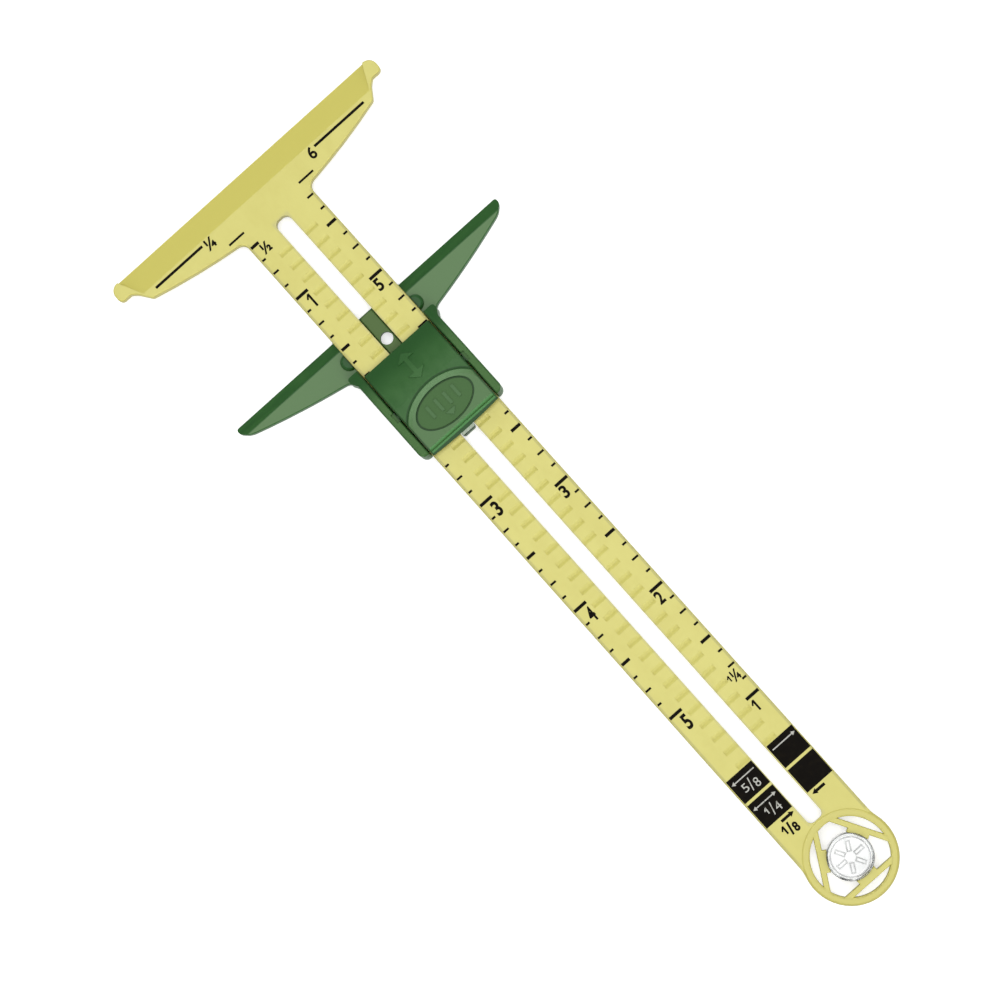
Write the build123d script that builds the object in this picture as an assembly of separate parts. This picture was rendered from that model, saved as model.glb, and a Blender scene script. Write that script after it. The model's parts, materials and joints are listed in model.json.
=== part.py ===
from build123d import *
import os

# A sliding sewing gauge, in millimetres.
# X runs along the bar from the head to the round end, Y across it and Z up.
# The origin lies under the middle of the whole length, on the plane that the gauge rests on.
# The slider stands where its wings' front edge is eleven eighths of an inch from the head's outer edge.

# Scale: the notches and the wings' place follow eighths of an inch
notch_pitch = 3.175
rest_steps = 11

# Heights from the resting plane
floor_thickness = 1.5
bar_gap = 0.1
bar_thickness = 1.5
overrun = 1.0

# Bar
bar_width = 15.875
slot_width = 3.175
slot_start = 11.5
slot_start_radius = 1.25
slot_end_radius = 1.0
edge_round = 0.25
notch_tail = 24.5
notch_length = 2.9
notch_width = 1.2
notch_floor = 0.2
notch_depth = 0.2

# Head, measured from its outer edge and from its tips: a lug, a shoulder and a tapering arm on each side
head_span = 64.2
lug_width = 2.4
lug_step = 1.0
lug_depth = 3.4
shoulder_width = 1.6
shoulder_drop = 0.9
arm_end_drop = 2.3
arm_taper = 3.7
arm_middle_share = 0.595
root_fillet = 1.6
arm_end_round = 0.9
shoulder_round = 0.8
lug_back_round = 0.9
lug_front_round = 1.8
bevel_width = 4.9
bevel_edge = 0.5
bevel_outer_margin = 1.9
bevel_inner_margin = 4.3

# Ring at the far end
anchor_distance = 165.1
ring_bulge = 0.6125
ring_wall = 1.5
ring_rise = 0.15
ring_round = 0.45
ring_rim_inset = 0.3
opening_round = 0.22
flare_fillet = 6.0
chord_width = 1.05
chord_count = 3
pad_width = 4.0
pad_height = 0.75
pad_radius = 3.85

# Anchor button
groove_clearance = 0.1
button_overlap = 0.35
anchor_top_thickness = 0.5
anchor_rim_width = 0.55
anchor_relief = 0.2
anchor_relief_slope = 0.3
spoke_count = 6
spoke_width = 0.95
spoke_start = 0.9
spoke_gap = 0.4
anchor_edge_round = 0.2

# Slider wings and floor
wing_span = 63.4
wing_tip_width = 1.5
wing_tip_depth = 1.3
wing_tip_slant = 1.4
wing_sweep = 5.2
wing_middle_shares = (0.558, 0.503)
wing_fillet = 2.2
wing_front_round = 0.5
wing_tip_round = 1.6
wing_shoulder_round = 4.0
wing_top_round = 0.2
wing_bevel = 2.1
wing_edge = 0.6
slider_length = 27.8

# Slider walls, with heights from the bar's top
wall_clearance = 0.11
wall_thickness = 1.65
wall_start = 7.4
wall_flare = 0.7
wall_flare_length = 2.4
wall_flare_round = 0.6
wall_front_rise = 0.6
wall_middle_rise = 1.5
wall_middle_share = 0.25
wall_pivot_rise = 2.3
wall_rear_rise = 2.6
wall_rear_round = 0.8
wall_corner_round = 1.2
wall_top_round = 0.3
boss_radius = 1.6
boss_distance = 4.8
boss_height = 0.9
boss_round = 0.6

# Guide rib and marker hole
rib_clearance = 0.1375
rib_drop = 0.4
rib_start = 0.35
rib_overhang = 1.3
rib_round = 0.3
rib_end_round = 0.5
rib_tail_length = 1.1
rib_tail_drop = 0.7
marker_distance = 6.35
marker_radius = 1.2
marker_relief_rise = 0.2
marker_relief_reach = 0.6

# Return spring, its seat in the floor and its nub on the push button
wire_radius = 0.15
coil_radius = 1.05
coil_turns = 4.25
coil_clearance = 0.2
nub_length = 0.6
spring_setback = 3.4
spring_seat = 0.7

# Pivot
pivot_distance = 18.9
pivot_rise = 0.95
stub_radius = 0.8
stub_clearance = 0.06
stub_recess = 0.35
lead_in_clearance = 0.2
lead_in_depth = 0.7
lead_in_rise = 1.0

# Push button, with heights from the bar's top
button_front_setback = 1.7
button_rear_overhang = 0.9
button_lip_length = 1.0
button_lip_drop = 0.45
button_lip_thickness = 0.2
button_side_gap = 0.25
button_side_round = 0.25
button_gap = 0.15
button_front_rise = 0.7
button_middle_rise = 2.1
button_middle_share = 0.483
button_crest_rise = 2.85
button_crest_advance = 0.9
button_rear_rise = 0.85
button_rear_round = 0.7
button_rear_bulge = 0.3
button_front_round = 0.3
button_roof_thickness = 0.75
cavity_advance = 2.9
cavity_wall = 1.3
tooth_setback = 1.3
tooth_width = 1.1
tooth_tip = 0.3
tooth_tip_gap = 0.05
tooth_end_gap = 0.25
tooth_steps = 9
tooth_rows = 2

# Dish, oval and raised marks on the push button
dish_setback = 4.5
dish_length_radius = 6.25
dish_side_overrun = 0.85
dish_ramp = 0.75
dish_depth = 0.45
dish_step_depth = 0.25
dish_step_width = 0.25
oval_advance = 1.3
oval_length_radius = 3.7
oval_width_radius = 6.2
oval_depth = 0.2
oval_groove_width = 0.35
oval_groove_depth = 0.25
mark_rise = 0.15
grip_bar_count = 4
grip_bar_pitch = 2.0
grip_bar_length = 2.6
grip_bar_width = 0.6
grip_bar_advance = 0.5
arrow_setback = 1.4
arrow_length = 6.0
arrow_shaft = 0.9
arrow_head = 3.6
arrow_head_length = 1.5
pointer_size = 1.1
pointer_setback = 2.0

# Distances from the head's outer edge, worked out from the sizes above
half_bar = bar_width / 2
ring_radius = half_bar + ring_bulge
ring_bore = ring_radius - ring_wall
overall_length = anchor_distance + ring_radius
slot_end = anchor_distance - ring_radius
shoulder_depth = lug_depth + shoulder_drop
arm_end_depth = shoulder_depth + arm_end_drop
arm_root_depth = arm_end_depth + arm_taper
wing_front = rest_steps * notch_pitch
notch_reach = slot_width / 2 + notch_length

# Distances from the wings' front edge, and half widths
wall_inner = half_bar + wall_clearance
wall_outer = wall_inner + wall_thickness
rib_half_width = slot_width / 2 - rib_clearance
button_half = wall_inner - button_side_gap
button_start = wall_start + button_front_setback
button_rear = slider_length + button_rear_overhang
button_rear_top = button_rear - button_lip_length
spring_distance = slider_length - spring_setback
dish_distance = button_rear - dish_setback
oval_distance = dish_distance - oval_advance
tooth_distance = button_start + tooth_setback
notch_start = wing_front + tooth_distance - tooth_steps * notch_pitch
notch_count = 1 + int((anchor_distance - notch_tail - notch_start) / notch_pitch)

# Heights, worked out from the resting plane up
bar_bottom = floor_thickness + bar_gap
bar_top = bar_bottom + bar_thickness
rib_height = bar_top - rib_drop
pivot_height = bar_top + pivot_rise
wall_front = bar_top + wall_front_rise
wall_top = bar_top + wall_rear_rise
button_underside = bar_top + button_gap
button_crest = bar_top + button_crest_rise
dish_floor = button_crest - dish_depth
dish_step_floor = button_crest - dish_step_depth
oval_floor = dish_floor - oval_depth
button_roof = oval_floor - button_roof_thickness


def along(distance):
    """Turns a distance from the head's outer edge into the model's X."""
    return distance - overall_length / 2


def on_slider(distance):
    """Turns a distance from the wings' front edge into the model's X."""
    return along(wing_front + distance)


def block(x_low, x_high, y_low, y_high, z_low, z_high):
    """A plain box between two corners."""
    size = Vector(x_high - x_low, y_high - y_low, z_high - z_low)
    middle = Vector(x_low + x_high, y_low + y_high, z_low + z_high) / 2
    return Pos(middle) * Box(size.X, size.Y, size.Z)


def prism(face, z_low, z_high):
    """A flat face lifted to z_low and made as thick as the space up to z_high."""
    return extrude(Pos(0, 0, z_low) * face, z_high - z_low, dir=(0, 0, 1))


def across(points, y_low, y_high):
    """A side view given as X and Z pairs, made solid from y_low to y_high."""
    outline = make_face(Polyline(*[(x, y_high, z) for x, z in points], close=True))
    return extrude(outline, y_high - y_low, dir=(0, -1, 0))


def both_sides(shape):
    """The shape and its mirror image on the other side of the bar."""
    return [shape, mirror(shape, Plane.XZ)]


def corner(face, x, y, radius):
    """Rounds the corner of a flat face that lies nearest to x, y, and its mirror image across the bar."""
    for side in (1, -1):
        nearest = min(face.vertices(), key=lambda v: (Vector(v.X, v.Y) - Vector(x, side * y)).length)
        face = fillet(nearest, radius)
    return face


def head_outline():
    """The head seen from above: a straight outer edge, tapering arms and a small lug at each tip."""
    tip_y = head_span / 2
    lug_y = tip_y - lug_width
    shoulder_y = lug_y - lug_step
    arm_y = shoulder_y - shoulder_width
    root = (along(arm_root_depth), half_bar)
    middle = (along(arm_end_depth + arm_middle_share * arm_taper), (half_bar + arm_y) / 2)
    arm_end = (along(arm_end_depth), arm_y)
    shoulder = (along(shoulder_depth), shoulder_y)
    lug_root = (along(lug_depth), lug_y)
    lug_tip = (along(lug_depth), tip_y)
    outer = (along(0), tip_y)
    lines = Curve() + [
        ThreePointArc(root, middle, arm_end),
        Polyline(arm_end, shoulder, lug_root, lug_tip, outer, (along(0), 0), (root[0], 0), root),
    ]
    upper = make_face(lines)
    face = upper + mirror(upper, Plane.XZ)
    face = corner(face, *arm_end, arm_end_round)
    face = corner(face, *lug_root, shoulder_round)
    face = corner(face, *lug_tip, lug_back_round)
    return corner(face, *outer, lug_front_round)


def bar_outline():
    """Head, bar and round end in one flat face, with its inner corners filleted."""
    strip_start = along(arm_root_depth / 2)
    strip_end = along(anchor_distance)
    strip = Pos((strip_start + strip_end) / 2, 0) * Rectangle(strip_end - strip_start, bar_width)
    disc = Pos(along(anchor_distance), 0) * Circle(ring_radius)
    face = head_outline() + strip + disc
    face = corner(face, along(arm_root_depth), half_bar, root_fillet)
    flare_x = along(anchor_distance) - (ring_radius ** 2 - half_bar ** 2) ** 0.5
    return corner(face, flare_x, half_bar, flare_fillet)


def slot_outline():
    """The slot seen from above: rounder at the head than at the far end."""
    start = along(slot_start)
    end = along(slot_end)
    strip = Pos((start + end) / 2, 0) * Rectangle(end - start, slot_width)
    strip = corner(strip, start, slot_width / 2, slot_start_radius)
    return corner(strip, end, slot_width / 2, slot_end_radius)


def ring_openings():
    """The middle opening with its three pads, and the sliver outside each chord bar."""
    bore = Circle(ring_bore)
    chord_face = pad_radius + pad_height
    middle = bore
    slivers = []
    for index in range(chord_count):
        turn = Rot(0, 0, 360 / chord_count * index)
        beyond = Pos(chord_face + ring_bore / 2, 0) * Rectangle(ring_bore, 2 * ring_bore)
        middle -= turn * beyond
        pad = Pos(chord_face, 0) * Rectangle(2 * pad_height, pad_width)
        middle -= turn * pad
        outside = Pos(chord_face + chord_width + ring_bore / 2, 0) * Rectangle(ring_bore, 2 * ring_bore)
        slivers.append(turn * (bore & outside))
    middle += Circle(pad_radius)
    return [Pos(along(anchor_distance), 0) * face for face in [middle] + slivers]


def opening_edges(body):
    """The top edges of the ring's openings."""
    centre = Vector(along(anchor_distance), 0, bar_top)
    reach = ring_bore + ring_rim_inset / 2
    level = body.edges().filter_by_position(Axis.Z, bar_top - edge_round / 2, bar_top + ring_rise / 2)
    return level.filter_by(lambda edge: all((Vector(edge @ share) - centre).length < reach for share in (0, 0.5, 1)))


def notch_cutter(x):
    """One shallow notch across both halves of the bar, wider at its mouth than at its floor."""
    low = bar_top - notch_depth
    high = bar_top + overrun
    slope = (notch_width - notch_floor) / 2 / notch_depth
    half_floor = notch_floor / 2
    half_mouth = notch_width / 2 + overrun * slope
    points = [(x - half_floor, low), (x + half_floor, low), (x + half_mouth, high), (x - half_mouth, high)]
    return across(points, -notch_reach, notch_reach)


def bevel_cutter():
    """The wedge over the head's outer edge, with slanted ends that leave a step beside each lug."""
    edge_z = bar_bottom + bevel_edge
    slope = (bar_top - edge_z) / bevel_width
    outside = along(-overrun)
    inside = along(bevel_width + overrun)
    points = [
        (outside, edge_z - slope * overrun),
        (inside, bar_top + slope * overrun),
        (outside, bar_top + slope * overrun),
    ]
    spread = (bevel_inner_margin - bevel_outer_margin) / bevel_width * overrun
    outer_half = head_span / 2 - bevel_outer_margin + spread
    inner_half = head_span / 2 - bevel_inner_margin - spread
    plan = make_face(Polyline(
        (outside, outer_half), (inside, inner_half), (inside, -inner_half), (outside, -outer_half), close=True,
    ))
    return across(points, -head_span, head_span) & prism(plan, 0, bar_top + overrun)


def gauge_bar():
    """The yellow moulding: bevelled head, slotted and notched bar, and ring."""
    body = prism(bar_outline(), bar_bottom, bar_top)
    body = fillet(body.edges().group_by(Axis.Z)[-1], edge_round)
    ring_top = bar_top + ring_rise
    middle = Pos(along(anchor_distance), 0)
    ring = prism(middle * Circle(ring_radius), bar_bottom, ring_top)
    ring = fillet(ring.edges().group_by(Axis.Z)[-1], ring_round)
    body += ring - prism(middle * Circle(ring_bore + ring_rim_inset), bar_top, ring_top + overrun)
    body -= prism(slot_outline(), 0, bar_top + overrun)
    for opening in ring_openings():
        body -= prism(opening, 0, ring_top + overrun)
    body = fillet(opening_edges(body), opening_round)
    body -= bevel_cutter()
    for index in range(notch_count):
        body -= notch_cutter(along(notch_start + index * notch_pitch))
    return body


def wing_outline():
    """Wings and floor seen from above: straight front edge, curved backs running into the walls."""
    half = wing_span / 2
    shoulder_x = on_slider(wing_tip_depth + wing_tip_slant)
    shoulder_y = half - wing_tip_width
    depth_share, width_share = wing_middle_shares
    tip = (on_slider(wing_tip_depth), half)
    shoulder = (shoulder_x, shoulder_y)
    middle = (shoulder_x + depth_share * wing_sweep, wall_outer + width_share * (shoulder_y - wall_outer))
    root = (shoulder_x + wing_sweep, wall_outer)
    rear = on_slider(slider_length)
    lines = Curve() + [
        Polyline((on_slider(0), 0), (on_slider(0), half), tip, shoulder),
        ThreePointArc(shoulder, middle, root),
        Polyline(root, (rear, wall_outer), (rear, 0), (on_slider(0), 0)),
    ]
    upper = make_face(lines)
    face = upper + mirror(upper, Plane.XZ)
    face = corner(face, on_slider(0), half, wing_front_round)
    face = corner(face, *tip, wing_tip_round)
    face = corner(face, *shoulder, wing_shoulder_round)
    face = corner(face, *root, wing_fillet)
    return corner(face, rear, wall_outer, wall_corner_round)


def wing_bevel_cutter():
    """The wedge that thins one wing towards its front edge, outside the bar."""
    slope = (floor_thickness - wing_edge) / wing_bevel
    points = [
        (on_slider(-overrun), wing_edge - slope * overrun),
        (on_slider(wing_bevel + overrun), floor_thickness + slope * overrun),
        (on_slider(-overrun), floor_thickness + slope * overrun),
    ]
    return across(points, wall_inner, wing_span)


def wall_plan():
    """One side wall seen from above, rounded at its rear corner."""
    front = on_slider(wall_start)
    rear = on_slider(slider_length)
    face = Pos((front + rear) / 2, (wall_inner + wall_outer) / 2) * Rectangle(rear - front, wall_thickness)
    outer_corner = max(face.vertices(), key=lambda v: v.X + v.Y)
    return fillet(outer_corner, wall_corner_round)


def flare_plan():
    """The flare seen from above, on the outer half of the wall's front end."""
    front = on_slider(wall_start)
    middle = front + wall_flare_length / 2
    back = front + wall_flare_length
    inside = (wall_inner + wall_outer) / 2
    outside = wall_outer + wall_flare
    points = [(front, inside), (front, outside), (middle, outside), (back, wall_outer), (back, inside)]
    face = make_face(Polyline(*points, close=True))
    front_corner = max(face.vertices(), key=lambda v: v.Y - v.X)
    return fillet(front_corner, wall_flare_round)


def wall_profile(y_low, y_high):
    """The walls' side view: low at the front, rising to the pivot, then nearly flat."""
    front_x = on_slider(wall_start)
    pivot_x = on_slider(pivot_distance)
    rear_x = on_slider(slider_length)
    front = (front_x, 0, wall_front)
    middle = (front_x + wall_middle_share * (pivot_x - front_x), 0, bar_top + wall_middle_rise)
    pivot = (pivot_x, 0, bar_top + wall_pivot_rise)
    lines = Curve() + [
        Polyline((rear_x, 0, 0), (front_x, 0, 0), front),
        ThreePointArc(front, middle, pivot),
        Polyline(pivot, (rear_x, 0, wall_top), (rear_x, 0, 0)),
    ]
    face = make_face(lines)
    top_corner = max(face.vertices(), key=lambda v: v.X + v.Z)
    face = fillet(top_corner, wall_rear_round)
    return extrude(Pos(0, y_high, 0) * face, y_high - y_low, dir=(0, -1, 0))


def side_wall():
    """One side wall with rounded top edges and a flare at its front."""
    wall = wall_profile(wall_inner, wall_outer)
    lengthwise = wall.edges().filter_by(lambda edge: abs(edge.tangent_at(0).Y) < 1 / 2)
    wall = fillet(lengthwise.filter_by(lambda edge: edge.center().Z > wall_front), wall_top_round)
    wall &= prism(wall_plan(), -overrun, wall_top + overrun)
    return wall + (prism(flare_plan(), 0, wall_top) & wall_profile(0, wing_span))


def boss():
    """The half-round post on one wing that guides the bar's edge."""
    x = on_slider(boss_distance)
    post = Pos(x, wall_inner) * Circle(boss_radius)
    outside = Pos(x, wall_inner + boss_radius) * Rectangle(2 * boss_radius, 2 * boss_radius)
    post = prism(post & outside, 0, floor_thickness + boss_height)
    return fillet(post.edges().group_by(Axis.Z)[-1].filter_by(GeomType.CIRCLE), boss_round)


def rib():
    """The rib in the bar's slot, with rounded ends and a sloping tail that runs past the floor."""
    nose = on_slider(rib_start)
    tail = on_slider(slider_length + rib_overhang)
    strip = Pos((nose + tail) / 2, 0) * Rectangle(tail - nose, 2 * rib_half_width)
    for end in (nose, tail):
        strip = corner(strip, end, rib_half_width, rib_end_round)
    body = prism(strip, 0, rib_height)
    body = fillet(body.edges().group_by(Axis.Z)[-1], rib_round)
    slope = [(tail - rib_tail_length, rib_height), (tail, rib_height - rib_tail_drop), (tail, rib_height)]
    return body - across(slope, -rib_half_width, rib_half_width)


def lead_in():
    """The shallow notch in one wall's inner face, over the pivot hole, that the stub slides down."""
    pivot = on_slider(pivot_distance)
    half = stub_radius + lead_in_clearance
    low = pivot_height + lead_in_rise
    return block(pivot - half, pivot + half, wall_inner, wall_inner + lead_in_depth, low, wall_top + overrun)


def spring_pocket():
    """The round seat in the floor, with the rib cut away over it."""
    x = on_slider(spring_distance)
    radius = coil_radius + wire_radius + coil_clearance
    gap = block(x - radius, x + radius, -rib_half_width, rib_half_width, floor_thickness, rib_height + overrun)
    return [prism(Pos(x, 0) * Circle(radius), spring_seat, rib_height + overrun), gap]


def marker_cutter():
    """The marker hole: round through the rib, and lengthened below it so that a pencil can lean."""
    x = on_slider(marker_distance)
    relief = SlotCenterToCenter(2 * marker_relief_reach, 2 * marker_radius)
    hole = prism(Pos(x, 0) * Circle(marker_radius), -overrun, rib_height + overrun)
    return [hole, prism(Pos(x, 0) * relief, -overrun, floor_thickness + marker_relief_rise)]


def cross_cylinder(x, z, radius, y_low, y_high):
    """A round bar lying across the gauge, from y_low to y_high."""
    disc = Plane(origin=(x, y_low, z), z_dir=(0, 1, 0)) * Circle(radius)
    return extrude(disc, y_high - y_low, dir=(0, 1, 0))


def slider_body():
    """The green moulding: wings, floor, side walls, guide rib and bosses."""
    body = prism(wing_outline(), 0, floor_thickness)
    body = fillet(body.edges().group_by(Axis.Z)[-1], wing_top_round)
    body -= both_sides(wing_bevel_cutter())
    body += both_sides(side_wall())
    body += both_sides(boss())
    body += rib()
    body -= marker_cutter()
    body -= spring_pocket()
    hole_radius = stub_radius + stub_clearance
    body -= cross_cylinder(on_slider(pivot_distance), pivot_height, hole_radius, -wing_span / 2, wing_span / 2)
    return body - both_sides(lead_in())


def button_profile(lift):
    """The rocker's side view, with its top raised by lift."""
    start_x = on_slider(button_start)
    crest_x = on_slider(pivot_distance - button_crest_advance)
    middle_x = start_x + button_middle_share * (crest_x - start_x)
    front = (start_x, 0, button_underside)
    front_top = (start_x, 0, bar_top + button_front_rise + lift)
    middle = (middle_x, 0, bar_top + button_middle_rise + lift)
    crest = (crest_x, 0, button_crest + lift)
    dish_x = on_slider(dish_distance)
    rear_top_x = on_slider(button_rear_top)
    rear_x = on_slider(button_rear)
    lip = bar_top + button_rear_rise + button_lip_thickness
    pivot = (on_slider(pivot_distance), 0, button_underside)
    lines = Curve() + [
        Polyline(front, front_top),
        ThreePointArc(front_top, middle, crest),
        Polyline(
            crest, (dish_x, 0, button_crest + lift), (dish_x, 0, dish_floor),
            (rear_top_x, 0, dish_floor), (rear_top_x, 0, lip + button_lip_drop),
            (rear_x, 0, lip), (rear_x, 0, bar_top + button_rear_rise), pivot, front,
        ),
    ]
    face = make_face(lines)
    corner_at = Vector(rear_top_x, 0, dish_floor)
    face = fillet(min(face.vertices(), key=lambda v: (Vector(v.X, v.Y, v.Z) - corner_at).length), button_rear_round)
    return extrude(Pos(0, half_bar, 0) * face, 2 * half_bar, dir=(0, -1, 0))


def button_plan():
    """The rocker seen from above: straight sides and a slightly bulging rear edge."""
    front = on_slider(button_start)
    rear = on_slider(button_rear)
    side_end = rear - button_rear_bulge
    lines = Curve() + [
        Polyline((side_end, button_half), (front, button_half), (front, -button_half), (side_end, -button_half)),
        ThreePointArc((side_end, -button_half), (rear, 0), (side_end, button_half)),
    ]
    return prism(make_face(lines), 0, button_crest + overrun)


def oval_cone(inset, floor, run, rise):
    """A widening oval cutter: its floor lies inside the dish's outline, and its side runs out as it rises."""
    top = button_crest + overrun
    spread = run * (top - floor) / rise
    length_radius = dish_length_radius - inset
    width_radius = button_half + dish_side_overrun - inset
    low = Ellipse(length_radius, width_radius)
    high = Ellipse(length_radius + spread, width_radius + spread)
    x = on_slider(dish_distance)
    return loft([Pos(x, 0, floor) * low, Pos(x, 0, top) * high])


def dish_cutter():
    """The finger dish: a steep step at its outline, then a gentle ramp down to its floor."""
    step = oval_cone(dish_step_width, dish_step_floor, dish_step_width, dish_step_depth)
    ramp_drop = dish_depth - dish_step_depth
    ramp = oval_cone(dish_step_width + dish_ramp, dish_floor, dish_ramp, ramp_drop)
    below = prism(Rectangle(overall_length, head_span), 0, dish_step_floor)
    return ramp & (step + below)


def oval_groove():
    """The thin groove round the oval pad."""
    outer = Ellipse(oval_length_radius, oval_width_radius)
    inner = Ellipse(oval_length_radius - oval_groove_width, oval_width_radius - oval_groove_width)
    place = Pos(on_slider(oval_distance), 0)
    return prism(place * (outer - inner), oval_floor - oval_groove_depth, button_crest)


def arrow_outline():
    """A plain double-headed arrow along the bar."""
    start = on_slider(button_start + arrow_setback)
    end = start + arrow_length
    half_shaft = arrow_shaft / 2
    half_head = arrow_head / 2
    start_neck = start + arrow_head_length
    end_neck = end - arrow_head_length
    return make_face(Polyline(
        (start, 0), (start_neck, half_head), (start_neck, half_shaft),
        (end_neck, half_shaft), (end_neck, half_head), (end, 0),
        (end_neck, -half_head), (end_neck, -half_shaft),
        (start_neck, -half_shaft), (start_neck, -half_head),
        close=True,
    ))


def pad_marks():
    """Raised grip bars and a small pointer inside the oval, as flat faces."""
    faces = []
    grip_x = on_slider(oval_distance - grip_bar_advance)
    for index in range(grip_bar_count):
        y = (index - (grip_bar_count - 1) / 2) * grip_bar_pitch
        faces.append(Pos(grip_x, y) * Rectangle(grip_bar_length, grip_bar_width))
    x = on_slider(oval_distance + pointer_setback)
    half = pointer_size / 2
    pointer = Polyline((x - half, pointer_size), (x + half, 0), (x - half, -pointer_size), close=True)
    return faces + [make_face(pointer)]


def tooth(x):
    """One tooth under the rocker, which drops into a notch of the bar."""
    low = bar_top - notch_depth + tooth_tip_gap
    high = button_underside + button_gap
    half_width = tooth_width / 2
    half_tip = tooth_tip / 2
    points = [(x - half_width, high), (x - half_tip, low), (x + half_tip, low), (x + half_width, high)]
    return across(points, slot_width / 2 + tooth_end_gap, notch_reach - tooth_end_gap)


def button_side_edges(body):
    """The long top edges of the rocker, ahead of the dish."""
    crest_x = on_slider(pivot_distance - button_crest_advance)
    edges = body.edges().filter_by(lambda edge: abs(abs(edge.center().Y) - button_half) < button_side_gap / 2)
    return edges.filter_by(lambda edge: edge.center().Z > pivot_height and edge.center().X < crest_x)


def push_button():
    """The rocker: domed shell with a finger dish, pivot stubs, teeth and a nub for the spring."""
    body = button_profile(0) & button_plan()
    front_edges = body.edges().filter_by(Axis.Y).group_by(Axis.X)[0]
    body = fillet(front_edges.sort_by(Axis.Z)[-1], button_front_round)
    body = fillet(button_side_edges(body), button_side_round)
    body -= dish_cutter()
    oval = Pos(on_slider(oval_distance), 0) * Ellipse(oval_length_radius, oval_width_radius)
    body -= prism(oval, oval_floor, button_crest + overrun)
    body -= oval_groove()
    for mark in pad_marks():
        body += prism(mark, oval_floor - mark_rise, oval_floor + mark_rise)
    body += prism(arrow_outline(), button_roof, button_crest + overrun) & button_profile(mark_rise)
    cavity_half = button_half - cavity_wall
    cavity_front = on_slider(pivot_distance - cavity_advance)
    cavity_rear = on_slider(button_rear_top - cavity_wall)
    body -= block(cavity_front, cavity_rear, -cavity_half, cavity_half, 0, button_roof)
    nub = Pos(on_slider(spring_distance), 0) * Circle(coil_radius - wire_radius - coil_clearance)
    body += prism(nub, button_roof - nub_length, button_roof)
    stub_start = cavity_half + cavity_wall / 2
    stub_end = wall_outer - stub_recess
    body += both_sides(cross_cylinder(on_slider(pivot_distance), pivot_height, stub_radius, stub_start, stub_end))
    for row in range(tooth_rows):
        body += both_sides(tooth(on_slider(tooth_distance + row * notch_pitch)))
    return body


def return_spring():
    """A small compression coil between the floor's pocket and the rocker's roof."""
    height = button_roof - spring_seat - 2 * wire_radius
    path = Helix(height / coil_turns, height, coil_radius)
    section = Plane(origin=path @ 0, z_dir=path % 0) * Circle(wire_radius)
    coil = sweep(section, path=path, is_frenet=True)
    return Pos(on_slider(spring_distance), 0, spring_seat + wire_radius) * coil


def spoke(length, low, high):
    """One raised spoke with sloping sides, lying along X."""
    base = Rectangle(length, spoke_width)
    crown = Rectangle(length - 2 * anchor_relief_slope, spoke_width - 2 * anchor_relief_slope)
    x = spoke_start + length / 2
    return loft([Pos(x, 0, low) * base, Pos(x, 0, high) * crown])


def anchor_button():
    """The clear disc: two flanges with a groove between them for the ring's pads, and raised spokes on top."""
    groove = pad_radius - groove_clearance
    radius = pad_radius + button_overlap
    lower = bar_bottom - groove_clearance
    upper = bar_top + groove_clearance
    top = upper + anchor_top_thickness
    rim_top = top + anchor_relief
    inner = radius - anchor_rim_width
    body = prism(Circle(radius), 0, lower) + prism(Circle(groove), 0, top) + prism(Circle(radius), upper, rim_top)
    body = fillet(body.edges().group_by(Axis.Z)[-1], anchor_edge_round)
    body -= loft([Pos(0, 0, top) * Circle(inner - anchor_relief_slope), Pos(0, 0, rim_top) * Circle(inner)])
    length = inner - anchor_relief_slope - spoke_gap - spoke_start
    for index in range(spoke_count):
        body += Rot(0, 0, 360 / spoke_count * (index + 1 / 2)) * spoke(length, top, rim_top)
    return Pos(along(anchor_distance), 0, 0) * body


os.makedirs("parts", exist_ok=True)
nodes = {
    "gauge_bar": gauge_bar(),
    "slider_body": slider_body(),
    "push_button": push_button(),
    "return_spring": return_spring(),
    "anchor_button": anchor_button(),
}
for name, shape in nodes.items():
    export_step(shape, os.path.join("parts", name + ".step"))
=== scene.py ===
import json
import math
from collections import namedtuple

import bmesh
import bpy
from mathutils import Matrix, Vector


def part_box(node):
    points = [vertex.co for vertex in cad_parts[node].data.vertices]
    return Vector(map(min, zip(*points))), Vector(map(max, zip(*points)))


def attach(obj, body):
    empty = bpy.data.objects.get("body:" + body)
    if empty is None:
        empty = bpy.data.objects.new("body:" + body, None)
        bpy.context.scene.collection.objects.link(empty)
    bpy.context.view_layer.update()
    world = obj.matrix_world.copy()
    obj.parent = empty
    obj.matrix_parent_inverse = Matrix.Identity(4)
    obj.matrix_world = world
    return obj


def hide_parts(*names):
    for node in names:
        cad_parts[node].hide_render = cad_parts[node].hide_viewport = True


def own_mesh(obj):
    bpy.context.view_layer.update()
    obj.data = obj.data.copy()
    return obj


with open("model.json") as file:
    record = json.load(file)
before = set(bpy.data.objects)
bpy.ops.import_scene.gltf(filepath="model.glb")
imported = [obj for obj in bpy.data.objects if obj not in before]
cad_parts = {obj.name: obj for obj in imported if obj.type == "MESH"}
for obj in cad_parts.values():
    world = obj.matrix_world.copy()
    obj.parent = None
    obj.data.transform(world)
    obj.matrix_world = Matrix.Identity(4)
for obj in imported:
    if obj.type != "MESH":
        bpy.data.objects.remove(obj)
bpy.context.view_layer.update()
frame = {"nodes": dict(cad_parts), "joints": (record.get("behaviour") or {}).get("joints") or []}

scene = bpy.context.scene


# Camera
# It hangs over the bar and looks nearly straight down, turned so that the gauge
# runs from the upper left to the lower right of a square picture.
eye = bpy.data.objects.new("eye", bpy.data.cameras.new("eye"))
eye.data.sensor_width = 36.0
eye.data.lens = 86.23
eye.data.clip_start = 0.01
eye.location = (0.045011, 0.002365, 0.429764)
eye.rotation_euler = [math.radians(turn) for turn in (4.8494, 5.4878, 48.4562)]
scene.collection.objects.link(eye)
scene.camera = eye


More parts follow.
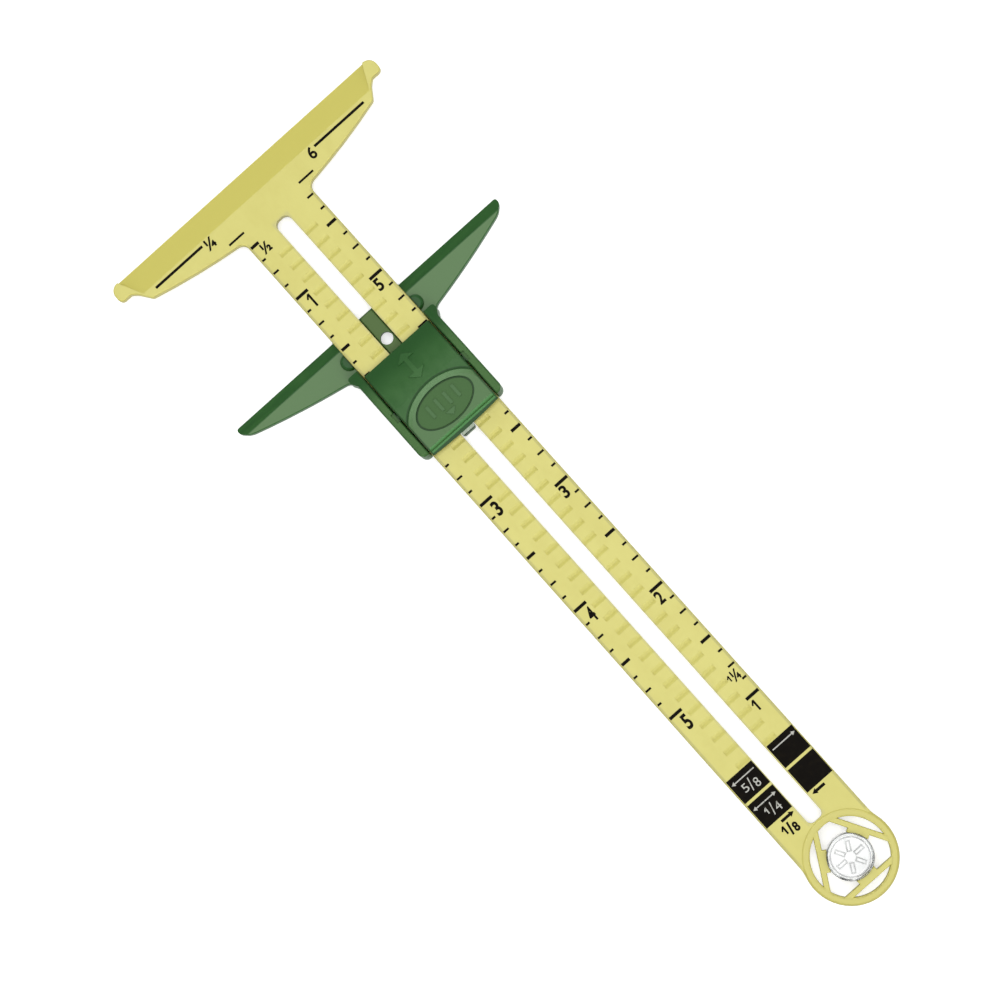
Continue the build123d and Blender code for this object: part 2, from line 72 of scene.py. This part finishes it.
# Bar
# The yellow moulding: T-shaped head, slotted and notched bar, and ring. It is a pale
# pigmented plastic, satin on its faces, with cloudy flow marks and fine scuffs where the
# slider rubs. Painted shade darkens faces that turn away from the light, the head's sloping
# edge, the ring's raised arc, the notches and the edges of the bar and its slot.
class Wire:
    """A shader socket; arithmetic on it adds Math nodes to its material."""

    def __init__(self, tree, socket=None):
        self.tree = tree
        self.socket = socket

    def node(self, kind, sockets=None, settings=None, output=0):
        """Adds a node: its settings first, then its sockets; the result is one output."""
        made = self.tree.nodes.new("ShaderNode" + kind)
        for name, value in (settings or {}).items():
            setattr(made, name, value)
        for name, value in (sockets or {}).items():
            if isinstance(value, Wire):
                self.tree.links.new(value.socket, made.inputs[name])
            else:
                made.inputs[name].default_value = value
        return Wire(self.tree, made.outputs[output])

    def maths(self, operation, *values):
        """Adds a Math node over wires and numbers."""
        return self.node("Math", dict(enumerate(values)), {"operation": operation})

    def __add__(self, other):
        return self.maths("ADD", self, other)

    def __sub__(self, other):
        return self.maths("SUBTRACT", self, other)

    def __rsub__(self, other):
        return self.maths("SUBTRACT", other, self)

    def __mul__(self, other):
        return self.maths("MULTIPLY", self, other)

    def __abs__(self):
        return self.maths("ABSOLUTE", self)

    __radd__ = __add__
    __rmul__ = __mul__

    def smaller(self, other):
        return self.maths("MINIMUM", self, other)

    def larger(self, other):
        return self.maths("MAXIMUM", self, other)

    def rise(self, low, high):
        """0 below low, 1 above high, smooth between them."""
        sockets = {"Value": self, "From Min": low, "From Max": high}
        return self.node("MapRange", sockets, {"interpolation_type": "SMOOTHSTEP"})

    def fall(self, low, high):
        """1 below low, 0 above high, smooth between them."""
        return 1.0 - self.rise(low, high)

    def part(self, axis):
        """The X, Y or Z of a vector."""
        return self.node("SeparateXYZ", {"Vector": self}, output=axis)

    def noise(self, scale=1.0, detail=2.0, stretch=(1.0, 1.0, 1.0)):
        """Noise over this vector, with scale times stretch features to the metre."""
        moved = self.node("Mapping", {"Vector": self, "Scale": stretch})
        return moved.node("TexNoise", {"Vector": moved, "Scale": scale, "Detail": detail})

    def blend(self, first, second):
        """Goes from the first colour to the second as this goes from 0 to 1."""
        first, second = (end if isinstance(end, Wire) else (*end, 1.0) for end in (first, second))
        return self.node("Mix", {0: self, 6: first, 7: second}, {"data_type": "RGBA"}, 2)


def material(name, constants):
    """A new material with its shader's constants set; returns it, its wires and its shader."""
    made = bpy.data.materials.new(name)
    made.use_nodes = True
    shader = made.node_tree.nodes["Principled BSDF"]
    for socket, value in constants.items():
        shader.inputs[socket].default_value = value
    return made, Wire(made.node_tree), shader


def feed(shader, name, wire):
    """Links a wire to a socket of a shader."""
    wire.tree.links.new(wire.socket, shader.inputs[name])


def emboss(shader, height, strength, depth):
    """Shades a surface as if it rose by a wire from 0 to 1 times a depth in metres."""
    bump = height.node("Bump", {"Strength": strength, "Distance": depth, "Height": height})
    feed(shader, "Normal", bump)


Spot = namedtuple("Spot", "place x y z beside upright")


def spot(wires):
    """Where a point of a piece lies and how it faces.

    place is its position in metres; x, y, z and beside, its distance from the middle line,
    are in millimetres; upright is 1 where the surface faces straight up."""
    place = wires.node("TexCoord", output="Object")
    facing = wires.node("TexCoord", output="Normal")
    x, y, z = (place.part(axis) * 1000.0 for axis in "XYZ")
    return Spot(place, x, y, z, abs(y), facing.part("Z"))


def band(start, over):
    """Where a mask starts to change along an axis, and where it ends."""
    return start, start + over


flow_marks = (130.0, 260.0, 260.0)
flow_contrast = (0.3, 0.75)
mottles = 620.0
mottle_contrast = (0.42, 0.72)
haze_patches = 500.0
grains = 2600.0
grain_depth = 0.00005
scuff_marks = (35.0, 2600.0, 2600.0)
scuff_contrast = (0.60, 0.74)
scuffed_side = band(4.4, 0.5)
turned_away = (0.35, 0.97)


def moulded(name, face, deep, edge_shade, constants, haze, tints):
    """Moulded plastic: cloudy colour from face to deep, and painted shade in the edge colour where a
    face turns away from straight up.

    tints takes a spot and gives a list of mask, colour and haze: mostly painted light and shade,
    where the moulding is thin, deep or pressed. Marks, patches and grains are counted to the metre."""
    made, wires, shader = material(name, constants)
    at = spot(wires)
    flow = at.place.noise(detail=4.0, stretch=flow_marks).rise(*flow_contrast)
    mottle = at.place.noise(mottles, detail=3.0).rise(*mottle_contrast)
    clouds = flow * 0.75 + mottle * 0.25
    colour = clouds.blend(face, deep)
    haze = at.place.noise(haze_patches) * 0.04 + haze
    for mask, tint, tint_haze in tints(at):
        colour = mask.blend(colour, tint)
        haze = haze + (tint_haze - haze) * mask
    turned_shade = at.upright.fall(*turned_away)
    grain = at.place.noise(grains, detail=3.0)
    scuffs = at.place.noise(stretch=scuff_marks).rise(*scuff_contrast)
    scuffs = scuffs * at.beside.fall(*scuffed_side)
    # Painted shade: faces that turn away from straight up blend towards the edge colour.
    feed(shader, "Base Color", (turned_shade * 0.75).blend(colour, edge_shade))
    feed(shader, "Roughness", haze + grain * 0.08 + scuffs * 0.1)
    emboss(shader, grain * 0.6 + scuffs * 0.4, strength=0.12, depth=grain_depth)
    return made


def wear(node, made):
    """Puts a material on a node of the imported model."""
    solid = frame["nodes"][node]
    solid.data.materials.clear()
    solid.data.materials.append(made)


def corners(node):
    """A node's lowest and highest corner at rest, in millimetres."""
    return [[round(metres * 1000, 3) for metres in corner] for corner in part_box(node)]


def joint_place(name):
    """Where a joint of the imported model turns, in millimetres."""
    joint = next(joint for joint in frame["joints"] if joint["name"] == name)
    return [round(metres * 1000, 3) for metres in joint["pos_m"]]


bar_low, bar_high = corners("gauge_bar")
bevel_end = band(bar_low[0] + 4.925, 0.1)
head_back = band(bar_low[0] + 10.825, 1.0)
ring_x = joint_place("anchor_spin")[0]
slot_end = band(ring_x - 9.075, 0.8)
bar_end = band(ring_x - 5.275, 2.0)
border_front = band(ring_x - 4.275, 1.5)
ring_rise = 0.15
print_face = bar_high[2] - ring_rise
below_print = band(print_face - 0.04, 0.04)
notch_depth = band(print_face - 0.19, 0.14)
arc_height = band(print_face + 0.05, 0.07)
bar_side = band(7.25, 0.35)
slot_side = band(1.75, 0.35)
arc_inner = band(7.3, 0.1)
border_inner = band(8.05, 0.3)
nearly_level = (0.90, 0.95)


def out_from_ring(at, radii):
    """0 nearer to the ring's middle than one radius, 1 beyond the other."""
    square = (at.x - ring_x) * (at.x - ring_x) + at.y * at.y
    return square.rise(radii[0] ** 2, radii[1] ** 2)


def bar_tints(at):
    """Painted shade: the head's sloping edge, the ring's raised arc, the notches, the bar's edges and
    the slot's edges.
    """
    bevel_shade = at.x.fall(*bevel_end) * at.z.fall(*below_print)
    arc_shade = out_from_ring(at, arc_inner) * at.z.rise(*arc_height)
    border_shade = out_from_ring(at, border_inner) * at.x.rise(*border_front)
    notch_shade = at.z.fall(*notch_depth) * at.upright.rise(*nearly_level) * (1.0 - bevel_shade)
    behind_head = at.x.rise(*head_back)
    flank_shade = behind_head * at.beside.rise(*bar_side) * at.x.fall(*bar_end)
    slot = behind_head * at.beside.fall(*slot_side) * at.x.fall(*slot_end)
    # Painted shade: each row a mask, a darker colour and a haze.
    return [
        (flank_shade, (0.455, 0.425, 0.125), 0.40),
        (slot, (0.530, 0.495, 0.165), 0.40),
        (bevel_shade, (0.565, 0.515, 0.108), 0.36),
        (arc_shade * 0.8, (0.555, 0.510, 0.125), 0.36),
        (border_shade * 0.8, (0.430, 0.390, 0.085), 0.36),
        (notch_shade * 0.5, (0.500, 0.455, 0.070), 0.40),
    ]


yellow = moulded(
    "yellow_moulding",
    face=(0.607, 0.565, 0.148),
    deep=(0.570, 0.523, 0.126),
    edge_shade=(0.36, 0.32, 0.05),
    constants={"IOR": 1.5},
    haze=0.36,
    tints=bar_tints,
)
wear("gauge_bar", yellow)


# Printed scales
# Two inch scales, pad-printed in black ink a few hundredths of a millimetre thick:
# from the head along the lower half, and back from the round end along the upper.
inch = 25.4
print_zero = bar_low[0] - 0.55
ink_bottom = print_face - 0.005
ink_top = print_face + 0.025
ink_grains = 5200.0
ink_patches = 900.0
patch_contrast = (0.45, 0.8)
thin_tick = 0.4
bold_tick = 0.6
tick_foot = 7.6
lower_tips = (4.85, 5.8, 6.4, 6.8)
upper_tips = (4.75, 5.5, 6.2, 6.7)
first_eighth = 4
last_lower_eighth = 40
last_upper_eighth = 42
upper_zero_eighth = 50
lower_row = (-6.25, -4.95)
lower_figure = (0.8, 3.75)
upper_row = (4.75, 6.05)
upper_figure = (0.55, 3.05)
figure_thickness = 0.5
flag_lean = -38.0
weld_distance = 0.0002
head_lines = (
    ((5.95, 6.45), (-25.4, -14.0)),
    ((6.05, 6.55), (13.5, 25.6)),
    ((9.3, 9.7), (-10.2, -6.6)),
    ((9.3, 9.7), (6.9, 10.4)),
)


def ink(name, colour, thin):
    """Pad-printed ink: matt, a little uneven, thin in places."""
    made, wires, shader = material(name, {"IOR": 1.4, "Specular IOR Level": 0.1})
    place = wires.node("TexCoord", output="Object")
    patchy = place.noise(ink_patches, detail=3.0).rise(*patch_contrast)
    grain = place.noise(ink_grains)
    feed(shader, "Base Color", patchy.blend(colour, thin))
    feed(shader, "Roughness", 0.62 + grain * 0.2)
    emboss(shader, grain, strength=0.1, depth=0.00002)
    return made


def slab(shape, along, across, top=ink_top):
    """Adds an oblong of ink, in millimetres: along from the scale's zero, across from the middle."""
    size = (along[1] - along[0], across[1] - across[0], top - ink_bottom)
    middle = Vector((along[0] + along[1], across[0] + across[1], top + ink_bottom)) / 2
    place = Matrix.Translation(middle) @ Matrix.Diagonal((*size, 1.0))
    bmesh.ops.create_cube(shape, size=1.0, matrix=place)


def one(shape, along, y, width, top=ink_top):
    """Adds a plain 1 with a short flag, lying along the bar with its top towards the head."""
    slab(shape, along, (y - width / 2, y + width / 2), top)
    flag = (width * 2.4, width * 0.8, top - ink_bottom)
    middle = (along[0] + width * 1.25, y - width * 0.9, (top + ink_bottom) / 2)
    lean = Matrix.Rotation(math.radians(flag_lean), 4, "Z")
    place = Matrix.Translation(middle) @ lean @ Matrix.Diagonal((*flag, 1.0))
    bmesh.ops.create_cube(shape, size=1.0, matrix=place)


def figure(shape, words, along, across, top=ink_top, weight=0.03):
    """Adds figures that read across the bar, their tops towards the head.

    They are drawn at any size and thickness, and then fitted to an oblong of ink."""
    curve = bpy.data.curves.new("figure", "FONT")
    curve.body = words
    curve.offset = weight
    curve.extrude = figure_thickness
    writer = bpy.data.objects.new("figure", curve)
    scene.collection.objects.link(writer)
    bpy.context.view_layer.update()
    flat = bpy.data.meshes.new_from_object(writer.evaluated_get(bpy.context.evaluated_depsgraph_get()))
    bpy.data.objects.remove(writer)
    bpy.data.curves.remove(curve)
    flat.transform(Matrix.Rotation(math.pi / 2, 4, "Z"))
    low = Vector(min(point.co[axis] for point in flat.vertices) for axis in range(3))
    high = Vector(max(point.co[axis] for point in flat.vertices) for axis in range(3))
    size = Vector((along[1] - along[0], across[1] - across[0], top - ink_bottom))
    fit = Matrix.Diagonal((*(wanted / had for wanted, had in zip(size, high - low)), 1.0))
    place = Matrix.Translation((along[0], across[0], ink_bottom))
    flat.transform(place @ fit @ Matrix.Translation(-low))
    shape.from_mesh(flat)
    bpy.data.meshes.remove(flat)


def piece(name, shape, made, body, start=print_zero):
    """Turns a shape in millimetres, begun at a place along the bar, into a piece on a body."""
    bmesh.ops.remove_doubles(shape, verts=shape.verts, dist=weld_distance)
    bmesh.ops.recalc_face_normals(shape, faces=shape.faces)
    mesh = bpy.data.meshes.new(name)
    shape.to_mesh(mesh)
    shape.free()
    mesh.transform(Matrix.Scale(0.001, 4) @ Matrix.Translation((start, 0.0, 0.0)))
    mesh.materials.append(made)
    made_piece = bpy.data.objects.new(name, mesh)
    scene.collection.objects.link(made_piece)
    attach(made_piece, body)
    return made_piece


def tick(shape, eighth, count, side, tips):
    """Adds a tick; tips says how far in it reaches on a whole, half, quarter or eighth inch."""
    kind = next(kind for kind, step in enumerate((8, 4, 2, 1)) if count % step == 0)
    x = eighth * inch / 8
    half = (bold_tick if kind < 2 else thin_tick) / 2
    slab(shape, (x - half, x + half), sorted((side * tips[kind], side * tick_foot)))


black_ink = ink("black_ink", (0.004, 0.003, 0.002), (0.008, 0.006, 0.003))
white_ink = ink("white_ink", (0.48, 0.48, 0.44), (0.26, 0.26, 0.23))

ticks = bmesh.new()
for eighth in range(first_eighth, last_upper_eighth + 1):
    if eighth <= last_lower_eighth:
        tick(ticks, eighth, eighth, -1, lower_tips)
    tick(ticks, eighth, upper_zero_eighth - eighth, 1, upper_tips)
for along, across in head_lines:
    slab(ticks, along, across)
piece("scale_ticks", ticks, black_ink, "bar")

figures = bmesh.new()
figure(figures, "½", (13.2, 15.4), (-6.4, -4.5), weight=0.035)
one(figures, (26.0, 28.9), -5.4, width=0.42)
for count in (2, 3, 4, 5):
    x = count * inch
    figure(figures, str(count), (x + lower_figure[0], x + lower_figure[1]), lower_row)
for count in (5, 4, 3, 2):
    x = upper_zero_eighth * inch / 8 - count * inch
    figure(figures, str(count), (x + upper_figure[0], x + upper_figure[1]), upper_row)
one(figures, (134.1, 136.3), 5.5, width=0.38)
one(figures, (128.1, 129.3), 5.05, width=0.26)
figure(figures, "¼", (127.75, 129.9), (5.45, 7.0))
figure(figures, "¼", (5.6, 7.9), (-13.6, -11.6))
figure(figures, "6", (5.65, 8.1), (11.65, 13.05), weight=0.022)
one(figures, (153.95, 155.6), -5.4, width=0.36)
figure(figures, "/", (153.9, 156.3), (-4.95, -4.1), weight=0.06)
figure(figures, "8", (154.6, 156.4), (-4.05, -3.0), weight=0.04)
piece("scale_figures", figures, black_ink, "bar")


# Width gauges near the ring
# Four blocks in black ink beside the slot, three of them with white arrows or figures
# printed over the black, and two small black arrows that point to the slot.
white_top = ink_top + 0.015
block_lengths = ((141.8, 146.8), (147.35, 152.5))
block_widths = ((-7.66, -1.72), (1.85, 7.76))
white_arrows = ((143.0, -7.25, -2.2), (143.0, 7.35, 2.3), (148.65, -7.25, -4.7), (148.65, -2.25, -4.8))
black_arrows = ((153.25, -2.2, -4.9), (153.25, 2.5, 5.2))


def arrow(shape, x, tip, tail, width, head, top):
    """Adds an arrow across the bar, from its tail to its tip, with a three-cornered head."""
    towards = 1.0 if tip > tail else -1.0
    neck = tip - towards * head * 0.8
    corner = head * 0.62
    slab(shape, (x - width / 2, x + width / 2), sorted((neck, tail)), top)
    turn = Matrix.Rotation(0.0 if towards > 0 else math.pi, 4, "Z")
    middle = Matrix.Translation((x, tip - towards * head * 0.5, (top + ink_bottom) / 2))
    bmesh.ops.create_cone(
        shape,
        cap_ends=True,
        segments=3,
        radius1=corner,
        radius2=corner,
        depth=top - ink_bottom,
        matrix=middle @ turn,
    )


blocks = bmesh.new()
for along in block_lengths:
    for across in block_widths:
        slab(blocks, along, across)
piece("gauge_blocks", blocks, black_ink, "bar")

widths = bmesh.new()
for x, tip, tail in white_arrows:
    arrow(widths, x, tip, tail, width=0.22, head=0.75, top=white_top)
figure(widths, "5", (143.95, 145.5), (-6.2, -5.15), white_top, weight=0.0)
figure(widths, "/", (143.6, 146.0), (-4.95, -4.15), white_top, weight=0.0)
figure(widths, "8", (144.4, 146.1), (-3.95, -2.95), white_top, weight=0.0)
one(widths, (149.55, 150.8), -5.5, width=0.26, top=white_top)
figure(widths, "/", (149.3, 151.6), (-4.95, -4.15), white_top, weight=0.0)
figure(widths, "4", (149.95, 151.6), (-4.05, -2.95), white_top, weight=0.0)
piece("gauge_widths", widths, white_ink, "bar")

pointers = bmesh.new()
for x, tip, tail in black_arrows:
    arrow(pointers, x, tip, tail, width=0.52, head=1.0, top=ink_top)
piece("slot_pointers", pointers, black_ink, "bar")


# Slider
# The green moulding: two thin-edged wings under the bar, a floor, side walls, a guide
# rib in the slot and two half-round posts. A painted highlight lightens the level wing
# faces and the rib's tail; painted shade darkens the wing lips, the wall fronts and edges,
# and the rib's end.
slider_low, slider_high = corners("slider_body")
lip_end = band(slider_low[0] + 2.1, 0.25)
wall_front = band(slider_low[0] + 9.4, 7.5)
rib_tail = band(slider_high[0] - 1.2, 0.2)
rib_end = band(slider_high[0] - 0.2, 0.1)
floor_top = band(1.6, 0.1)
wall_foot = band(1.7, 0.6)
rib_side = band(1.55, 0.1)
wing_root = band(7.9, 0.15)
wall_inner = band(8.15, 0.25)
wall_outer = band(9.2, 0.4)
lip_streaks = (900.0, 130.0, 130.0)
streak_contrast = (0.35, 0.7)
quite_level = (0.985, 0.998)


def slider_tints(at):
    """Painted light and shade: a highlight on the level wing faces and the rib's tail, shade on the
    lips, wall fronts and edges and the rib's end; walls, posts and rib lie between.
    """
    wings = at.beside.rise(*wing_root) * at.z.fall(*floor_top)
    flat = wings * at.upright.rise(*quite_level) * at.x.rise(*lip_end)
    lip_shade = wings * at.x.fall(*lip_end)
    streak = at.place.noise(detail=3.0, stretch=lip_streaks).rise(*streak_contrast)
    rib = at.beside.fall(*rib_side) * at.z.rise(*floor_top)
    tail = rib * at.x.rise(*rib_tail)
    end = rib * at.x.rise(*rib_end)
    walls = at.beside.rise(*wing_root) * at.z.rise(*wall_foot)
    wall_front_shade = walls * at.x.fall(*wall_front)
    inner_edge_shade = walls * at.beside.fall(*wall_inner)
    outer_edge_shade = walls * at.beside.rise(*wall_outer)
    return [
        (walls, (0.045, 0.128, 0.026), 0.50),
        # Painted shade on the walls' sloping fronts, in the gap by the button and on their outer
        # edges.
        (wall_front_shade, (0.010, 0.072, 0.009), 0.40),
        (inner_edge_shade * 0.8, (0.008, 0.045, 0.006), 0.45),
        (outer_edge_shade * 0.6, (0.012, 0.065, 0.010), 0.45),
        # Painted highlight on the level wing faces, painted shade on their sloping lips.
        (flat, (0.078, 0.168, 0.055), 0.30),
        (lip_shade * (0.55 + streak * 0.45), (0.010, 0.074, 0.008), 0.25),
        (rib, (0.070, 0.130, 0.032), 0.50),
        # Painted highlight on the rib's tail, painted shade on its rear end.
        (tail, (0.560, 0.660, 0.540), 0.50),
        (end, (0.015, 0.030, 0.015), 0.50),
    ]


green = moulded(
    "green_moulding",
    face=(0.028, 0.118, 0.018),
    deep=(0.013, 0.090, 0.009),
    edge_shade=(0.010, 0.070, 0.007),
    constants={"IOR": 1.5, "Specular IOR Level": 0.3},
    haze=0.40,
    tints=slider_tints,
)
wear("slider_body", green)


# Push button
# The rocker between the walls, with a finger dish, an oval pad with raised grip bars
# and a double arrow, all in one green moulding with its pivot stubs and teeth.
button_low, button_high = corners("push_button")
dome_front = band(button_low[0] + 0.8, 6.0)
dome_side = band(7.35, 0.3)
dish_x = button_high[0] - 4.5
dish_radii = (6.25, 8.6)
inside_dish = (0.98, 1.0)
rim_half_width = (0.04, 0.09)
dish_front = band(button_high[0] - 9.8, 4.0)
rim_front = band(button_high[0] - 7.8, 2.0)
pad_x = button_high[0] - 5.8
pad_radii = (3.7, 6.2)
inside_pad = (0.9, 0.93)
outside_pad = (1.0, 1.03)
pad_outline = 0.955
outline_half_width = (0.045, 0.075)
grip_top = band(5.36, 0.04)
rear_edge = band(button_high[0] - 1.7, 0.4)
heel_edge = band(button_high[0] - 0.75, 0.2)
arrow_tips = (button_low[0] + 1.4, button_low[0] + 7.4)
arrow_outline = band(0.0, 0.1)
arrow_neck = band(1.5, 0.1)
arrow_half_head = 1.8
arrow_slant = (-0.1, 0.05)
arrow_half_shaft = band(0.35, 0.1)


def oval(at, middle, radii):
    """How far out a spot lies: 0 in the middle of an oval, 1 on its outline, growing as a square."""
    along = (at.x - middle) * (1.0 / radii[0])
    across = at.y * (1.0 / radii[1])
    return along * along + across * across


def double_arrow(at):
    """1 on the raised double arrow, which gets a painted highlight, and 0 beside it."""
    from_tip = (at.x - arrow_tips[0]).smaller(arrow_tips[1] - at.x)
    head = from_tip.rise(*arrow_outline) * from_tip.fall(*arrow_neck)
    in_head = (at.beside - from_tip * (arrow_half_head / arrow_neck[0])).fall(*arrow_slant)
    shaft = from_tip.rise(*arrow_neck)
    in_shaft = at.beside.fall(*arrow_half_shaft)
    return head * in_head + shaft * in_shaft


def push_tints(at):
    """Painted light and shade: shade towards the dome's front and sides, light on the dish floor and
    its crescent inside a rim of shade, shade in the pad's outline, whose floor is matt, a highlight on
    the rear edge and the arrow, shade on the heel.
    """
    dish = oval(at, dish_x, dish_radii)
    pad = oval(at, pad_x, pad_radii)
    pad_floor = pad.fall(*inside_pad)
    dish_floor_light = dish.fall(*inside_dish) * pad.rise(*outside_pad)
    crescent_highlight = dish_floor_light * at.x.fall(*dish_front)
    rim = abs(dish - 1.0).fall(*rim_half_width) * at.x.fall(*rim_front)
    outline_shade = abs(pad - pad_outline).fall(*outline_half_width)
    grip = pad_floor * at.z.rise(*grip_top)
    rear_highlight = at.x.rise(*rear_edge)
    heel_shade = at.x.rise(*heel_edge)
    side = at.beside.rise(*dome_side)
    return [
        # Painted shade towards the dome's front.
        (at.x.fall(*dome_front), (0.011, 0.072, 0.010), 0.35),
        # Painted light on the dish's floor and a painted highlight on its crescent.
        (dish_floor_light, (0.072, 0.160, 0.054), 0.42),
        (crescent_highlight, (0.090, 0.200, 0.072), 0.35),
        (pad_floor, (0.052, 0.128, 0.036), 0.60),
        # Painted shade on the dish's rim and in the pad's outline groove.
        (rim, (0.009, 0.054, 0.007), 0.45),
        (outline_shade * 0.75, (0.012, 0.055, 0.010), 0.45),
        # Painted highlight on the rounded rear edge, painted shade on the heel.
        (rear_highlight, (0.062, 0.220, 0.058), 0.40),
        (heel_shade, (0.008, 0.055, 0.007), 0.35),
        (grip, (0.054, 0.136, 0.041), 0.45),
        # Painted highlight on the raised double arrow.
        (double_arrow(at) * 0.3, (0.050, 0.150, 0.042), 0.40),
        # Painted shade at the dome's sides, by the walls.
        (side * 0.85, (0.007, 0.045, 0.005), 0.45),
    ]


push_green = moulded(
    "push_green",
    face=(0.029, 0.113, 0.021),
    deep=(0.012, 0.084, 0.008),
    edge_shade=(0.010, 0.065, 0.008),
    constants={"IOR": 1.5, "Specular IOR Level": 0.3},
    haze=0.42,
    tints=push_tints,
)
wear("push_button", push_green)


# Return spring
# A compression coil of drawn steel wire between the floor's pocket and the rocker's
# roof. Its end turns lie closed.
wire_radius = 0.15
coil_radius = 1.05
coil_x = -27.5
coil_seat = 0.7
coil_roof = 4.55
wire_sides = 10
turn_steps = 24
open_turns = 2.25
draw_marks = (2000.0, 2000.0, 9000.0)
closed_rise = 2 * wire_radius
open_rise = coil_roof - coil_seat - 2 * wire_radius - 2 * closed_rise

steel, wires, shader = material("spring_wire", {"Metallic": 1.0})
drawn = wires.node("TexCoord", output="Object").noise(stretch=draw_marks)
feed(shader, "Base Color", drawn.blend((0.62, 0.62, 0.60), (0.50, 0.50, 0.49)))
feed(shader, "Roughness", 0.24 + drawn * 0.16)
emboss(shader, drawn, strength=0.2, depth=0.00002)

coil = bmesh.new()
wire_start = Matrix.Translation((coil_radius, 0.0, coil_seat + wire_radius))
bmesh.ops.create_circle(
    coil,
    cap_ends=True,
    segments=wire_sides,
    radius=wire_radius,
    matrix=wire_start @ Matrix.Rotation(math.pi / 2, 4, "X"),
)
swept = [*coil.verts, *coil.edges, *coil.faces]
for turns, rise in ((1.0, closed_rise), (open_turns, open_rise), (1.0, closed_rise)):
    steps = round(turns * turn_steps)
    swept = bmesh.ops.spin(
        coil,
        geom=swept,
        cent=(0.0, 0.0, 0.0),
        axis=(0.0, 0.0, 1.0),
        dvec=(0.0, 0.0, rise / steps),
        angle=turns * 2 * math.pi,
        steps=steps,
        use_duplicate=False,
    )["geom_last"]
spring = piece("spring_coil", coil, steel, "slider", coil_x)
for face in spring.data.polygons:
    face.use_smooth = True
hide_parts("return_spring")
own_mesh(spring)


# Anchor button
# A clear grooved disc, snapped between the ring's three chord bars and free to turn.
# Its raised spokes and its rim are darkened unevenly by painted shade, standing in for dark
# reflections.
disc_rim = band(3.82, 0.2)
turned_face = (0.75, 0.99)
scratch_marks = (700.0, 5200.0, 5200.0)
scratch_contrast = (0.62, 0.72)
smears = 420.0
smear_contrast = (0.4, 0.8)
reflection_patches = 330.0
reflection_contrast = (0.46, 0.60)

clear, wires, shader = material("clear_moulding", {"IOR": 1.49, "Transmission Weight": 1.0})
at = spot(wires)
turned_shade = at.upright.fall(*turned_face)
rim = out_from_ring(at, disc_rim)
scratches = at.place.noise(stretch=scratch_marks).rise(*scratch_contrast)
smear = at.place.noise(smears, detail=3.0).rise(*smear_contrast)
uneven_reflection = at.place.noise(reflection_patches).rise(*reflection_contrast)
# Painted shade: the spokes' turned sides and, in uneven patches, the rim darken towards near black,
# standing in for dark reflections.
shade = (turned_shade * (0.65 + uneven_reflection * 0.25)).larger(rim * (0.15 + uneven_reflection * 0.83))
body_tint = smear.blend((0.98, 0.99, 0.985), (0.93, 0.95, 0.94))
feed(shader, "Base Color", shade.blend(body_tint, (0.008, 0.009, 0.008)))
feed(shader, "Roughness", 0.03 + scratches * 0.06 + smear * 0.04)
emboss(shader, scratches, strength=0.04, depth=0.00002)
wear("anchor_button", clear)


# Table and light
# A plain pale table, a wide soft lamp overhead, another high up beyond the ring's end,
# and a grey dome, white near the horizon. The camera and the clear disc see the table
# and the dome as white, and gloss sees the table so.
black = (0.0, 0.0, 0.0)
white = (1.0, 1.0, 1.0)
sky_grey = (0.18, 0.18, 0.18)
table_reach = 0.6
table_drop = 0.00005
table_glow = 0.52
glow_through_disc = 0.74
horizon = (0.45, 0.65)


def ray(wires, kind):
    """1 where the light path is a Camera, Glossy or Transmission ray."""
    return wires.node("LightPath", output=f"Is {kind} Ray")


def lamp(name, size, watts, place, lean=0.0):
    """An oblong lamp that the camera doesn't see, in metres and in degrees about Y."""
    made = bpy.data.objects.new(name, bpy.data.lights.new(name, "AREA"))
    made.data.shape = "RECTANGLE"
    made.data.size, made.data.size_y = size
    made.data.energy = watts
    made.location = place
    made.rotation_euler = (0.0, math.radians(lean), 0.0)
    made.visible_camera = False
    scene.collection.objects.link(made)


pale, wires, shader = material("pale_table", {
    "Base Color": (0.80, 0.80, 0.80, 1.0),
    "Roughness": 0.9,
    "Specular IOR Level": 0.0,
    "Emission Strength": 1.0,
})
seen = (ray(wires, "Camera") + ray(wires, "Glossy")) * table_glow
seen = seen.larger(ray(wires, "Transmission") * glow_through_disc)
feed(shader, "Emission Color", seen.blend(black, white))

table_top = bmesh.new()
bmesh.ops.create_grid(table_top, x_segments=1, y_segments=1, size=table_reach)
bmesh.ops.translate(table_top, verts=table_top.verts, vec=(0.0, 0.0, -table_drop))
flat = bpy.data.meshes.new("table")
table_top.to_mesh(flat)
table_top.free()
flat.materials.append(pale)
table = bpy.data.objects.new("table", flat)
scene.collection.objects.link(table)

lamp("softbox", (0.56, 0.34), 1.9, (-0.05, 0.0, 0.52))
lamp("side_lamp", (0.54, 0.72), 2.9, (0.76, 0.0, 0.78), lean=46.0)

dome = bpy.data.worlds.new("dome")
dome.use_nodes = True
scene.world = dome
wires = Wire(dome.node_tree)
low_sky = wires.node("TexCoord", output="Generated").part("Z").fall(*horizon)
bright = low_sky.larger(ray(wires, "Camera") + ray(wires, "Transmission"))
feed(dome.node_tree.nodes["Background"], "Color", bright.blend(sky_grey, white))

scene.view_settings.view_transform = "Standard"
